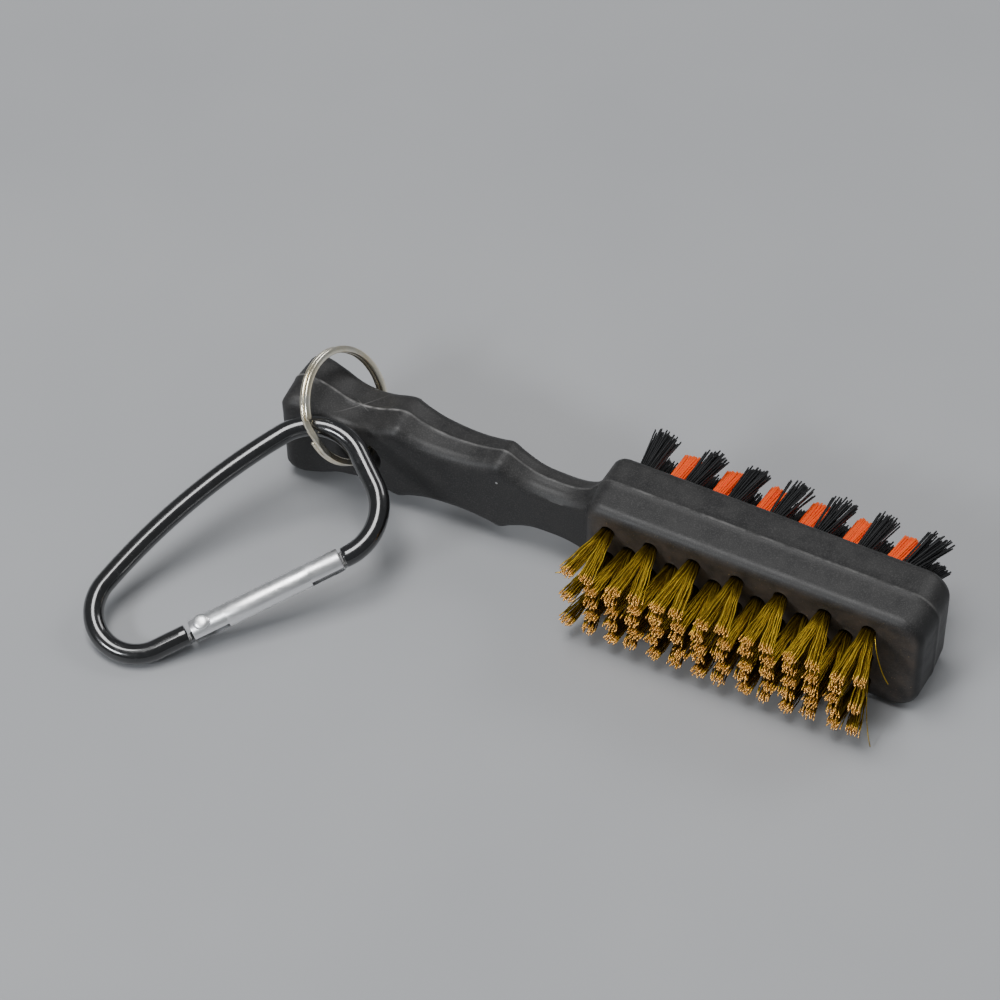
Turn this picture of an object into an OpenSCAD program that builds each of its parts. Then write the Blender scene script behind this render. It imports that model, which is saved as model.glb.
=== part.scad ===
// Golf club groove brush: a moulded body with brass wire tufts on one face and nylon tufts on the
// other, a hang hole with a split key ring, and a spring-gate carabiner.
// The brush lies on its long side. +X runs from handle to head, -Y is the brass face and +Y is the
// nylon face. The origin is the middle of the head's resting side, on the table.

/* [Head] */
// Length of the bristle head
head_len = 66.4; // [62:0.2:84]
// Height of the head as it lies, across the tuft rows
head_h = 24.6; // [22:0.2:30]
// Thickness of the head between the two tufted faces
head_t = 14.5; // [12.5:0.5:18]
// Rounding of the head's corners at the free end
head_corner_r = 5; // [4:0.5:7]
// Rounding of the head's shoulders at the handle end
head_shoulder_r = 3; // [2.5:0.5:5]
// Fillet round the edges of the two tufted faces
head_edge_r = 2; // [1:0.25:2.25]

/* [Tufts] */
// Distance between neighbouring tufts in a row
tuft_pitch = 8.5; // [7.5:0.25:9]
// Distance between neighbouring rows
row_pitch = 3.5; // [3.3:0.1:4]
// Tufts in the long rows, and one less in the rows between
tufts_per_row = 7; // [5:1:7]
// First tuft hole to the shoulder of the head
first_tuft = 5; // [4:0.5:7]
// Diameter of a tuft hole
tuft_hole_d = 2.6; // [2.2:0.1:2.8]
// Depth of a tuft hole
tuft_hole_depth = 5.5; // [4.5:0.25:5.75]
// Free length of the brass wire
brass_len = 12.2; // [10:0.2:16]
// Free length of the nylon filament
nylon_len = 10.8; // [9:0.2:16]

/* [Handle] */
// Length of the handle from the head's shoulder to its end
handle_len = 63.5; // [56:0.5:80]
// Half height of the handle at its finger crests
grip_half_h = 10; // [8.5:0.25:11]
// Half thickness of the handle at its end knob
knob_half_t = 7.3; // [6:0.1:7.4]
// Extra depth of the end knob on the lower side
knob_sag = 1.6; // [0:0.1:1.8]
// Half thickness of the handle at the neck
neck_half_t = 3.6; // [3:0.1:5]
// Diameter of the hang hole
hang_hole_d = 8; // [7.5:0.25:9]
// Hang hole centre to the end of the handle
hang_hole_from_end = 16.7; // [14:0.25:18]

/* [Split ring] */
// Outside diameter of the split ring
ring_od = 22.4; // [22:0.1:24]
// Width of the flat ring wire, across the ring
ring_wire_w = 1.3; // [1:0.1:1.5]
// Thickness of the flat ring wire, along the ring's axis
ring_wire_t = 0.8; // [0.6:0.05:0.9]
// Lean of the ring from upright, towards the handle's end
ring_lean = 32; // [30:1:34]

/* [Carabiner] */
// Overall length of the carabiner
carabiner_len = 61; // [57:0.5:72]
// Overall width of the carabiner at its wide end
carabiner_w = 31; // [30:0.5:36]
// Diameter of the frame's rod
rod_d = 3.9; // [3.4:0.1:4]
// Bend radius of the rod's centre line at the narrow end
narrow_bend_r = 8.4; // [7.5:0.1:9]
// Bend radius of the rod's centre line at the wide end
wide_bend_r = 10.2; // [9:0.1:11]
// Bend radius of the bowed back
back_bend_r = 125; // [100:5:160]
// Length of the gate
gate_len = 30; // [27:0.5:31]
// Outside diameter of the gate tube
gate_d = 4.4; // [4.2:0.1:4.6]
// Diameter of the rivet that the gate turns on
rivet_d = 1.3; // [1:0.1:1.4]

/* [Hidden] */

// Head: places shared by the body, its bores and its tufts
axis_z = head_h / 2;
shoulder_x = -head_len / 2;
face_y = head_t / 2;
first_x = shoulder_x + first_tuft;

// Tufts: a bundle folded over its anchor and pressed into the blind hole
tuft_clear = 0.04;
tuft_r = tuft_hole_d / 2 - tuft_clear;
anchor_t = 0.4;
anchor_h = 1.8;
anchor_side = 0.05;
anchor_w = 2 * (tuft_r - anchor_side);
anchor_lift = 0.5;
anchor_slot_clear = 0.03;
hole_floor_gap = 0.1;
tuft_stem = tuft_hole_depth - hole_floor_gap;
bundle_sink = 0.6;
brass_splay = 7;
brass_drift = 3;
brass_root_r = 0.8;
brass_tip_r = 1.35;
nylon_splay = 3.5;
nylon_drift = 10;
nylon_root_r = 0.95;
nylon_tip_r = 1.6;

// Handle: stations of the finger grip, as share of the handle's length and of the crest height
handle_end_x = shoulder_x - handle_len;
hole_x = handle_end_x + hang_hole_from_end;
end_round = 3;
neck_start = 0.11;
neck_taper = 1.3;
sag_from = 0.68;
sag_over = 0.12;
handle_edge_r = 2;
grip = [
    [0.00, 0.99], [0.03, 0.78], [0.08, 0.65], [0.14, 0.63], [0.205, 0.67],
    [0.26, 0.82], [0.30, 0.955], [0.34, 0.89], [0.395, 0.81], [0.455, 0.78],
    [0.53, 0.805], [0.585, 0.90], [0.622, 1.0], [0.655, 0.96], [0.71, 0.81],
    [0.77, 0.725], [0.82, 0.75], [0.875, 0.89], [0.93, 0.99], [1.00, 0.99]
];
grip_steps = 44;

// Split ring: two coils of flat wire, hung with its wire through the middle of the hang hole
coil_gap = 0.12;
ring_wire_chamfer = 0.15;
ring_mean_r = ring_od / 2 - ring_wire_w / 2;
ring_reach = 9.1;
ring_dy = -2;
ring_c = [hole_x - ring_reach * sin(ring_lean), ring_dy, axis_z + ring_reach * cos(ring_lean)];
ring_sweep = 697;
ring_step = 8.5;
ring_start = 265;
jog_at = 0.5;
jog_half = 14;

// Carabiner: its own frame has u along the gate from the hinge end, v across it towards the
// back, and w square to both. It leans on the ring with its narrow end on the table.
rod_r = rod_d / 2;
gate_r = gate_d / 2;
centre_len = carabiner_len - rod_d;
centre_w = carabiner_w - rod_d;
narrow_x = -7.2;
narrow_c = [narrow_x, narrow_bend_r];
wide_x = narrow_x - narrow_bend_r + centre_len - wide_bend_r;
wide_low_c = [wide_x, wide_bend_r];
wide_high_c = [wide_x, centre_w - wide_bend_r];
carabiner_at = [hole_x - 11, -50.6, 4.46];
carabiner_turn = [17.4, -13.8, 48.6];

// Centre of the back's arc, which touches both bends from outside
back_d0 = back_bend_r - narrow_bend_r;
back_d1 = back_bend_r - wide_bend_r;
back_v = wide_high_c - narrow_c;
back_l = norm(back_v);
back_e = back_v / back_l;
back_a = (back_d0 * back_d0 - back_d1 * back_d1 + back_l * back_l) / (2 * back_l);
back_h = sqrt(back_d0 * back_d0 - back_a * back_a);
back_c = narrow_c + back_a * back_e + back_h * [back_e[1], -back_e[0]];
back_start = atan2(wide_high_c[1] - back_c[1], wide_high_c[0] - back_c[0]);
back_end = atan2(narrow_c[1] - back_c[1], narrow_c[0] - back_c[0]);

// Gate and its fits
gate_bore_r = 1.5;
slot_w = 1.9;
tongue_w = 1.6;
pivot = [2.3, 0.2];
pivot_clear = 0.05;
hinge_slot = 6.8;
nose_slot = 6.5;
shoulder_gap = 0.9;
nose_gap = 0.6;
tongue_top = 1.15;
tongue_tip = 1.6;
root_relief = 30;
tongue_root = 0.6;
tongue_inset = 0.15;
nose_tip_gap = 0.4;
rivet_rim_h = 0.3;
relief_clear = 0.3;
cam_half = 1.1;
rivet_head_r = 1.5;
rivet_head_h = 0.7;
rivet_seat = 0.06;
plunger_gap = 0.1;
plunger_len = 2.2;
plunger_r = 1.4;
spigot_r = 0.55;
spigot_len = 2;
spring_wire = 0.4;
spring_r = 1.15;
spring_turns = 9;
spring_len = 10.6;
plunger_u = pivot[0] + tongue_tip + plunger_gap;
spring_u = plunger_u + plunger_len;
spring_end_gap = 0.05;
pinch_t = 1.2;
pinch_u = spring_u + spring_len + spring_end_gap;

// A smooth curve through stations [x, y]: cubic pieces whose end slopes are the chord slopes
function slope(p, i) = let(a = max(i - 1, 0), b = min(i + 1, len(p) - 1))
    (p[b][1] - p[a][1]) / (p[b][0] - p[a][0]);
function span(p, x, i = 0) = (i >= len(p) - 2 || x <= p[i + 1][0]) ? i : span(p, x, i + 1);
function curve(p, x) = let(i = span(p, x), h = p[i + 1][0] - p[i][0], t = (x - p[i][0]) / h)
    (1 + 2 * t) * pow(1 - t, 2) * p[i][1] + t * pow(1 - t, 2) * h * slope(p, i)
    + t * t * (3 - 2 * t) * p[i + 1][1] + t * t * (t - 1) * h * slope(p, i + 1);

// Handle's half height and half thickness at share s of the way from the head to its end
function handle_h(s) = grip_half_h * curve(grip, s);
function handle_t(s) = neck_half_t
    + (knob_half_t - neck_half_t) * pow(max(s - neck_start, 0) / (1 - neck_start), neck_taper);
function handle_sag(s) = let(t = min(max((s - sag_from) / sag_over, 0), 1)) knob_sag * t * t * (3 - 2 * t);

// Corner points of a rounded rectangle of half sizes a (Y) and b (Z), r at the corners
function rounded(a, b, r, n = 4) = [for (q = [0:3], k = [0:n])
    let(sy = (q == 0 || q == 3) ? 1 : -1, sz = q < 2 ? 1 : -1, an = 90 * q + 90 * k / n)
    [sy * (a - r) + r * cos(an), sz * (b - r) + r * sin(an)]];

// Skin of a solid through rings of equal length, closed at both ends
module skin(rings) {
    n = len(rings[0]);
    m = len(rings);
    sides = [for (i = [0:m - 2], k = [0:n - 1]) each
        [[i * n + k, i * n + (k + 1) % n, (i + 1) * n + (k + 1) % n],
         [i * n + k, (i + 1) * n + (k + 1) % n, (i + 1) * n + k]]];
    first = [[for (k = [n - 1:-1:0]) k]];
    last = [[for (k = [0:n - 1]) (m - 1) * n + k]];
    polyhedron(points = [for (r = rings) each r], faces = concat(first, sides, last), convexity = 6);
}

// Places of a row's tufts along X; the rows between sit half a pitch along
function row_xs(row) = let(odd = row % 2)
    [for (i = [0:tufts_per_row - 1 - (1 - odd)]) first_x + tuft_pitch * (i + (odd ? 0 : 0.5))];
function row_z(row) = axis_z + row_pitch * (3 - row);

// Stands its children on a tufted face, with +Z out of the face; side -1 is brass, 1 is nylon
module on_face(side, x, z) {
    translate([x, side * face_y, z]) rotate([-90 * side, 0, 0]) children();
}

// One corner of the head: a puck with filleted edges
module head_corner(r) {
    rotate([-90, 0, 0]) rotate_extrude($fn = 32) intersection() {
        square([r, head_t]);
        union() {
            translate([0, head_edge_r]) square([r, head_t - 2 * head_edge_r]);
            square([r - head_edge_r, head_t]);
            for (y = [head_edge_r, head_t - head_edge_r])
                translate([r - head_edge_r, y]) circle(head_edge_r, $fn = 32);
        }
    }
}

module head_block() {
    right = head_len / 2 - head_corner_r;
    left = shoulder_x + head_shoulder_r;
    hull() {
        for (z = [head_corner_r, head_h - head_corner_r])
            translate([right, -face_y, z]) head_corner(head_corner_r);
        for (z = [head_shoulder_r, head_h - head_shoulder_r])
            translate([left, -face_y, z]) head_corner(head_shoulder_r);
    }
}

// Handle: rounded sections that follow the finger grip, tucked 4 mm into the head
module handle_grip() {
    tuck = 4;
    last = handle_len - end_round;
    straight = [for (i = [0:grip_steps]) let(d = last * i / grip_steps, s = d / handle_len)
        [for (p = rounded(handle_t(s), handle_h(s) + handle_sag(s) / 2, handle_edge_r))
            [shoulder_x - d, p[0], axis_z + p[1] - handle_sag(s) / 2]]];
    root = [[for (p = rounded(handle_t(0), handle_h(0), handle_edge_r))
        [shoulder_x + tuck, p[0], axis_z + p[1]]]];
    cap = [for (a = [30:30:90]) let(s = (last + end_round * sin(a)) / handle_len,
        cut = end_round * (1 - cos(a)) * 0.9)
        [for (p = rounded(handle_t(s) - cut, handle_h(s) + handle_sag(s) / 2 - cut, handle_edge_r * 0.5))
            [shoulder_x - last - end_round * sin(a), p[0], axis_z + p[1] - handle_sag(s) / 2]]];
    skin(concat(root, straight, cap));
}

module brush_body() {
    color([0.17, 0.17, 0.18]) difference() {
        union() {
            head_block();
            handle_grip();
        }
        for (side = [-1, 1], row = [1:5], x = row_xs(row))
            on_face(side, x, row_z(row)) translate([0, 0, -tuft_hole_depth])
                cylinder(h = tuft_hole_depth + 2, r = tuft_hole_d / 2, $fn = 32);
        translate([hole_x, -head_t, axis_z]) rotate([-90, 0, 0])
            cylinder(h = 2 * head_t, r = hang_hole_d / 2, $fn = 48);
    }
}

// One tuft: a round stem in its hole, slit for the anchor, and two bundles that lean apart
module tuft(free_len, splay, drift, root_r, tip_r) {
    difference() {
        union() {
            translate([0, 0, -tuft_stem]) cylinder(h = tuft_stem, r = tuft_r, $fn = 32);
            for (s = [-1, 1])
                translate([s * (tuft_r - root_r), 0, -bundle_sink]) rotate([0, s * splay + drift, 0])
                    cylinder(h = free_len + bundle_sink, r1 = root_r, r2 = tip_r, $fn = 32);
        }
        translate([0, 0, anchor_lift + anchor_h / 2 - tuft_stem])
            cube([2 * tuft_hole_d, anchor_t + 2 * anchor_slot_clear, anchor_h + 2 * anchor_slot_clear],
                 center = true);
    }
}

module brass_row(row) {
    color([0.62, 0.50, 0.14]) for (x = row_xs(row))
        on_face(-1, x, row_z(row)) tuft(brass_len, brass_splay, brass_drift, brass_root_r, brass_tip_r);
}

module nylon_row(row) {
    color(row % 2 ? [0.05, 0.05, 0.055] : [0.95, 0.30, 0.05]) for (x = row_xs(row))
        on_face(1, x, row_z(row)) tuft(nylon_len, nylon_splay, nylon_drift, nylon_root_r, nylon_tip_r);
}

// Flat metal anchors across the foot of every hole on one side
module anchors(side) {
    color([0.70, 0.62, 0.40]) for (row = [1:5], x = row_xs(row))
        on_face(side, x, row_z(row)) translate([0, 0, anchor_lift + anchor_h / 2 - tuft_stem])
            cube([anchor_w, anchor_t, anchor_h], center = true);
}

// Split ring: one flat wire wound nearly twice, stepping from one coil to the other half way
module split_ring() {
    a = ring_wire_w / 2;
    b = ring_wire_t / 2;
    c = ring_wire_chamfer;
    half_pitch = (ring_wire_t + coil_gap) / 2;
    steps = round(ring_sweep / ring_step);
    section = [[a, b - c], [a - c, b], [c - a, b], [-a, b - c],
               [-a, c - b], [c - a, -b], [a - c, -b], [a, c - b]];
    rings = [for (i = [0:steps]) let(t = ring_sweep * i / steps, an = ring_start + t,
        k = min(max((t - ring_sweep * jog_at) / jog_half, -1), 1), z = half_pitch * sin(90 * k))
        [for (p = section) [(ring_mean_r + p[0]) * cos(an), (ring_mean_r + p[0]) * sin(an), z + p[1]]]];
    color([0.80, 0.78, 0.72]) translate(ring_c) rotate([0, 90 - ring_lean, 0]) skin(rings);
}

// Puts the carabiner's own frame where the carabiner leans
module carabiner_place() {
    translate(carabiner_at) rotate(carabiner_turn) children();
}

// Stations of an arc of the rod's centre line, clockwise from angle a0 to a1: [centre, radius, angle]
function arc_stations(c, r, a0, a1, n) = [for (i = [0:n]) [c, r, a0 + (a1 - a0) * i / n]];

// The rod: round rings square to its centre line, from the hinge shoulder round to the nose
function rod_point(s) = s[0] + s[1] * [cos(s[2]), sin(s[2])];

module bent_rod(shoulder_u, nose_u) {
    ends_r = narrow_bend_r;
    stations = concat(
        [[[shoulder_u, ends_r], ends_r, 270]],
        arc_stations(narrow_c, narrow_bend_r, 270, back_end, 16),
        arc_stations(back_c, back_bend_r, back_end, back_start, 10),
        arc_stations(wide_high_c, wide_bend_r, back_start, 0, 9),
        arc_stations(wide_low_c, wide_bend_r, 0, -90, 9),
        [[[nose_u, ends_r], ends_r, -90]]);
    skin([for (i = [0:len(stations) - 1])
        if (i == 0 || norm(rod_point(stations[i]) - rod_point(stations[i - 1])) > 0.01)
            let(s = stations[i]) [for (k = [0:15]) let(r = s[1] + rod_r * cos(22.5 * k))
                [s[0][0] + r * cos(s[2]), s[0][1] + r * sin(s[2]), -rod_r * sin(22.5 * k)]]]);
}

// Flat tongue at the hinge end. Its back is relieved along the line that the tail of the gate's
// inner wall reaches when the gate is wide open, and its tip is the plunger's cam
module hinge_tongue() {
    root_u = -shoulder_gap - tongue_root;
    tip_u = pivot[0] + tongue_tip;
    tail = [-pivot[0], gate_bore_r - pivot[1]];
    open_tail = pivot + [tail[0] * cos(root_relief) - tail[1] * sin(root_relief),
                         tail[0] * sin(root_relief) + tail[1] * cos(root_relief)];
    root_v = open_tail[1] + (root_u - open_tail[0]) * tan(root_relief) - relief_clear;
    crest_u = open_tail[0] + (tongue_top - open_tail[1] + relief_clear) / tan(root_relief);
    linear_extrude(height = tongue_w, center = true)
        polygon([[root_u, -rod_r], [tip_u, pivot[1] - cam_half], [tip_u, tongue_top],
                 [crest_u, tongue_top], [root_u, root_v]]);
}

module carabiner_frame() {
    shoulder_u = -shoulder_gap;
    nose_u = gate_len + nose_gap;
    color([0.03, 0.03, 0.035]) carabiner_place() difference() {
        union() {
            bent_rod(shoulder_u, nose_u);
            hinge_tongue();
            translate([gate_len - nose_slot + nose_tip_gap, tongue_inset - rod_r, -tongue_w / 2])
                cube([nose_slot + nose_gap, rod_r + tongue_top - tongue_inset, tongue_w]);
        }
        translate([pivot[0], pivot[1], -3]) cylinder(h = 6, r = rivet_d / 2, $fn = 32);
    }
}

// Rivet with a domed head on each side of the gate
module gate_rivet() {
    seat = gate_r + rivet_seat;
    color([0.82, 0.82, 0.84]) carabiner_place() translate([pivot[0], pivot[1], 0]) {
        cylinder(h = 2 * seat, r = rivet_d / 2, center = true, $fn = 32);
        for (s = [0, 180]) rotate([s, 0, 0]) translate([0, 0, seat]) {
            cylinder(h = rivet_rim_h, r = rivet_head_r, $fn = 32);
            translate([0, 0, rivet_rim_h])
                cylinder(h = rivet_head_h - rivet_rim_h, r1 = rivet_head_r, r2 = rivet_head_r * 0.6, $fn = 32);
        }
    }
}

// Gate: a tube pinched shut beyond the spring, slit on its outer side at both ends
module gate_tube() {
    color([0.80, 0.80, 0.82]) carabiner_place() difference() {
        rotate([0, 90, 0]) cylinder(h = gate_len, r = gate_r, $fn = 48);
        translate([-1, 0, 0]) rotate([0, 90, 0]) cylinder(h = 1 + pinch_u, r = gate_bore_r, $fn = 32);
        translate([pinch_u + pinch_t, 0, 0]) rotate([0, 90, 0])
            cylinder(h = gate_len - pinch_u - pinch_t + 1, r = gate_bore_r, $fn = 32);
        translate([-1, -gate_r - 1, -slot_w / 2]) cube([hinge_slot + 1, gate_r + 1, slot_w]);
        translate([gate_len - nose_slot, -gate_r - 1, -slot_w / 2])
            cube([nose_slot + 1, gate_r + 1, slot_w]);
        translate([pivot[0], pivot[1], -gate_r - 1])
            cylinder(h = 2 * gate_r + 2, r = rivet_d / 2 + pivot_clear, $fn = 32);
    }
}

module gate_plunger() {
    color([0.72, 0.72, 0.74]) carabiner_place() translate([plunger_u, 0, 0]) rotate([0, 90, 0]) {
        cylinder(h = plunger_len, r = plunger_r, $fn = 32);
        cylinder(h = plunger_len + spigot_len, r = spigot_r, $fn = 32);
    }
}

// Closing spring: a wire helix between the plunger and the pinch
module gate_spring() {
    steps = spring_turns * 14;
    w = spring_wire / 2;
    lead = (spring_len - spring_wire - 2 * spring_end_gap) / steps;
    rings = [for (i = [0:steps]) let(an = 360 * spring_turns * i / steps, u = w + spring_end_gap + lead * i)
        [for (k = [0:5]) let(rr = spring_r + w * cos(60 * k))
            [u + w * sin(60 * k), rr * cos(an), rr * sin(an)]]];
    color([0.6, 0.6, 0.62]) carabiner_place() translate([spring_u, 0, 0]) skin(rings);
}

brush_body();
brass_row(1);  // brass_tufts_row_1
brass_row(2);  // brass_tufts_row_2
brass_row(3);  // brass_tufts_row_3
brass_row(4);  // brass_tufts_row_4
brass_row(5);  // brass_tufts_row_5
anchors(-1);  // brass_anchors
nylon_row(1);  // nylon_tufts_row_1
nylon_row(2);  // nylon_tufts_row_2
nylon_row(3);  // nylon_tufts_row_3
nylon_row(4);  // nylon_tufts_row_4
nylon_row(5);  // nylon_tufts_row_5
anchors(1);  // nylon_anchors
split_ring();
carabiner_frame();
gate_rivet();
gate_tube();
gate_plunger();
gate_spring();
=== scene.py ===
"""Looks for a club groove brush: a moulded two-sided brush with a split ring and a carabiner.

Lengths in the classes are millimetres, and meshes are put into Blender in metres.
"""

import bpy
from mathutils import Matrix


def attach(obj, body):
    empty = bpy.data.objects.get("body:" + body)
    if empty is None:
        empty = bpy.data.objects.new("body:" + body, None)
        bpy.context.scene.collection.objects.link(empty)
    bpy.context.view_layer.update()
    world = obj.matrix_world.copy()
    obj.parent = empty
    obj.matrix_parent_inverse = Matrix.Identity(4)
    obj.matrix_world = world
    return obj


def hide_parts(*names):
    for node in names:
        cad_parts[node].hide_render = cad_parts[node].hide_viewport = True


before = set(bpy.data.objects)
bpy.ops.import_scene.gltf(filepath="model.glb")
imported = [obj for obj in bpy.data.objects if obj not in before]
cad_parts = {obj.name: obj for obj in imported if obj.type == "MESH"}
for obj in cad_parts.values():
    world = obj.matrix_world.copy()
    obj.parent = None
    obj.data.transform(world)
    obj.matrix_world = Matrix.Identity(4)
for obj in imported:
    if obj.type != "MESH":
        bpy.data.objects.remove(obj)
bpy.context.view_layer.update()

import logging
import math
from dataclasses import dataclass, field
from enum import Enum
from functools import reduce

import bmesh
import bpy
import numpy as np
from bpy.types import Material, Node, NodeSocket, NodeTree, Object
from mathutils import Matrix, Vector

Array = np.ndarray
Skin = tuple[Array, Array, Array]
Triple = tuple[float, float, float]
MM = 0.001
LOG = logging.getLogger("groove_brush")
AXIS_Z = 12.3
SUNFLOWER = 2.39996


class Side(Enum):
    """The two bristle faces of the head: brass looks along -Y and nylon along +Y."""

    BRASS = -1
    NYLON = 1


# ---- mesh tools


def grid_faces(rows: int, cols: int, wrap: bool = False) -> Array:
    """Quads that join neighbouring points of a grid stored row by row.

    Args:
        rows: Number of rows of points.
        cols: Number of points in a row.
        wrap: True joins the last point of a row to its first.

    Returns:
        Integer array of quads, one row of four indices each.
    """
    r = np.arange(rows - 1)[:, None]
    c = np.arange(cols if wrap else cols - 1)[None, :]
    d = (c + 1) % cols
    return np.stack([r * cols + c, r * cols + d, (r + 1) * cols + d, (r + 1) * cols + c], -1).reshape(-1, 4)


def build(name: str, points: Array, quads: Array, tris: Array | None = None,
          values: dict[str, Array] | None = None, sharp: float | None = None,
          weld: bool = False) -> Object:
    """Makes a mesh object from arrays of points in millimetres.

    Args:
        name: Name of the piece.
        points: Point positions, one row of three each.
        quads: Quads as rows of four indices.
        tris: Triangles as rows of three indices.
        values: Numbers per point that materials read, by attribute name.
        sharp: Angle in degrees past which an edge is shaded sharp.
        weld: True merges points that coincide and turns all faces outwards.

    Returns:
        The linked object, standing at the origin.
    """
    tris = np.zeros((0, 3), int) if tris is None else tris
    mesh = bpy.data.meshes.new(name)
    mesh.vertices.add(len(points))
    mesh.vertices.foreach_set("co", (points * MM).astype(np.float32).ravel())
    loops = np.concatenate([quads.ravel(), tris.ravel()]).astype(np.int32)
    starts = np.concatenate([np.arange(len(quads)) * 4, len(quads) * 4 + np.arange(len(tris)) * 3])
    mesh.loops.add(len(loops))
    mesh.loops.foreach_set("vertex_index", loops)
    mesh.polygons.add(len(starts))
    mesh.polygons.foreach_set("loop_start", starts.astype(np.int32))
    mesh.update(calc_edges=True)
    for key, numbers in (values or {}).items():
        mesh.attributes.new(key, "FLOAT", "POINT").data.foreach_set("value", numbers.astype(np.float32).ravel())
    mesh.validate()
    if weld:
        work = bmesh.new()
        work.from_mesh(mesh)
        bmesh.ops.remove_doubles(work, verts=work.verts, dist=2e-6)
        bmesh.ops.dissolve_degenerate(work, edges=work.edges, dist=1e-6)
        bmesh.ops.recalc_face_normals(work, faces=work.faces)
        work.to_mesh(mesh)
        work.free()
    mesh.shade_smooth()
    if sharp is not None:
        mesh.set_sharp_from_angle(angle=math.radians(sharp))
    piece = bpy.data.objects.new(name, mesh)
    bpy.context.scene.collection.objects.link(piece)
    return piece


def dress(piece: Object, material: Material, body: str, slot: str, *nodes: str) -> None:
    """Gives a piece its material and its body, and hides the CAD nodes it stands for."""
    piece.data.materials.clear()
    piece.data.materials.append(material)
    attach(piece, body)
    if nodes:
        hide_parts(*nodes)
    LOG.info("%s: %d faces, rides on %s", piece.name, len(piece.data.polygons), body)


def turn(degrees: Triple) -> Array:
    """Rotation about X, then Y, then Z, as a 3 by 3 array."""
    x, y, z = (Matrix.Rotation(math.radians(a), 3, k) for a, k in zip(degrees, "XYZ"))
    return np.array(z @ y @ x)


def spokes(u: Array, w: Array, angle: Array) -> Array:
    """Directions at each angle from u towards w, one ring of them for each row of u and w."""
    return u[:, None] * np.cos(angle)[None, :, None] + w[:, None] * np.sin(angle)[None, :, None]


def hermite(table: list[tuple[float, float]], x: Array) -> Array:
    """Smooth curve through a table: cubic pieces whose slope at each point is its neighbours' chord.

    Args:
        table: Pairs of place and value, in order.
        x: Places to read.

    Returns:
        Values at x.
    """
    p = np.array(table)
    n = len(p)
    lo, hi = np.maximum(np.arange(n) - 1, 0), np.minimum(np.arange(n) + 1, n - 1)
    m = (p[hi, 1] - p[lo, 1]) / (p[hi, 0] - p[lo, 0])
    i = np.clip(np.searchsorted(p[:, 0], x, side="right") - 1, 0, n - 2)
    h = p[i + 1, 0] - p[i, 0]
    t = (x - p[i, 0]) / h
    return ((1 + 2 * t) * (1 - t) ** 2 * p[i, 1] + t * (1 - t) ** 2 * h * m[i]
            + t * t * (3 - 2 * t) * p[i + 1, 1] + t * t * (t - 1) * h * m[i + 1])


def fillet(depth: Array, full: Array, radius: float) -> Array:
    """Half thickness of a slab with rounded edges: a quarter circle until depth from the outline passes radius."""
    d = np.clip(depth, 0, radius)
    return full - radius + np.sqrt(np.maximum(radius ** 2 - (radius - d) ** 2, 0))


# ---- the moulded brush


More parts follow.
